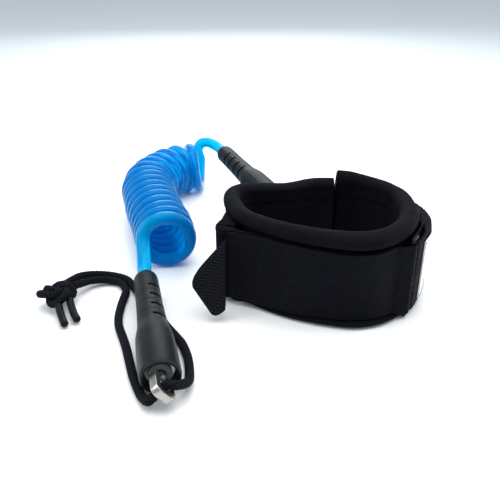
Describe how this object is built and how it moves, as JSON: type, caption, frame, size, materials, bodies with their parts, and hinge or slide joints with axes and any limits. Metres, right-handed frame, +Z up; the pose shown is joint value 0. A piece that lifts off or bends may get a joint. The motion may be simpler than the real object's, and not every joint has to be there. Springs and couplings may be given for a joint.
{
  "type": "coiled bicep leash",
  "caption": "Bodyboard bicep leash: padded neoprene arm cuff with a hook-and-loop strap, a curly cord between two swivel grips, and a knotted board string.",
  "frame": {"origin": "centre of the footprint of the cuff with its pull tab and anchor loop, on the floor it stands on", "axes": "+Z up through the arm opening, -Y out of the cuff's strapped front, -X towards the cord"},
  "size_m": [0.2132, 0.2789, 0.055],
  "materials": {
    "neoprene": "matt knitted face",
    "loop_pile": "fuzzy loop pile",
    "nylon_strap": "fine ribbed weave",
    "webbing": "coarse weave",
    "black_plastic": "satin moulding",
    "label": "glossy",
    "grip_rubber": "satin moulding",
    "blue_cord": "clear tinted polyurethane",
    "steel": "ground",
    "grey_washer": "satin",
    "braid": "round braid"
  },
  "bodies": {
    "cuff": {"cuff_pad": "neoprene", "base_strap": "loop_pile", "ring_tab": "webbing", "label_patch": "label", "anchor_patch": "webbing", "anchor_loop": "braid"},
    "ring": {"strap_ring": "black_plastic"},
    "strap": {"closing_strap": "nylon_strap", "hook_panel": "loop_pile"},
    "tab": {"pull_tab": "webbing"},
    "line": {"coil": "blue_cord", "cord_back": "blue_cord", "cuff_swivel_eye": "steel"},
    "rear_grip": {"cuff_grip": "grip_rubber", "cuff_swivel_barrel": "steel", "cuff_swivel_washer": "grey_washer", "cuff_cord_stop": "blue_cord"},
    "board_end": {"cord_front": "blue_cord", "board_swivel_eye": "steel", "string_left": "braid", "string_right": "braid", "string_knot": "braid", "string_tail_left": "braid", "string_tail_right": "braid"},
    "front_grip": {"board_grip": "grip_rubber", "board_swivel_barrel": "steel", "board_swivel_washer": "grey_washer", "board_cord_stop": "blue_cord"}
  },
  "joints": [
    {"name": "ring_tilt", "type": "hinge", "parent": "cuff", "child": "ring", "pos_m": [0.0486, -0.0432, 0.023], "axis": [0, 0, 1], "range_deg": [0, 20]},
    {"name": "strap_open", "type": "hinge", "parent": "ring", "child": "strap", "pos_m": [0.0457, -0.0478, 0.023], "axis": [0, 0, 1], "range_deg": [0, 70]},
    {"name": "tab_lift", "type": "hinge", "parent": "strap", "child": "tab", "pos_m": [-0.0455, -0.0339, 0.023], "axis": [0, 0, 1], "range_deg": [0, 30]},
    {"name": "line_swing", "type": "hinge", "parent": "cuff", "child": "line", "pos_m": [-0.01619, 0.05067, 0.0222], "axis": [0, 0, 1], "range_deg": [-35, 0]},
    {"name": "rear_swivel", "type": "hinge", "parent": "line", "child": "rear_grip", "pos_m": [-0.0554, 0.1398, 0.0296], "axis": [0.4014, -0.9124, -0.0801], "continuous": true},
    {"name": "coil_stretch", "type": "slide", "parent": "line", "child": "board_end", "axis": [0.2255, -0.9743, 0], "range_m": [0, 0.45], "stiffness_N_per_m": 8, "deforming": ["coil"]},
    {"name": "board_swivel", "type": "hinge", "parent": "board_end", "child": "front_grip", "pos_m": [-0.0922, -0.0273, 0.0119], "axis": [0.2254, -0.9739, -0.0249], "continuous": true}
  ]
}
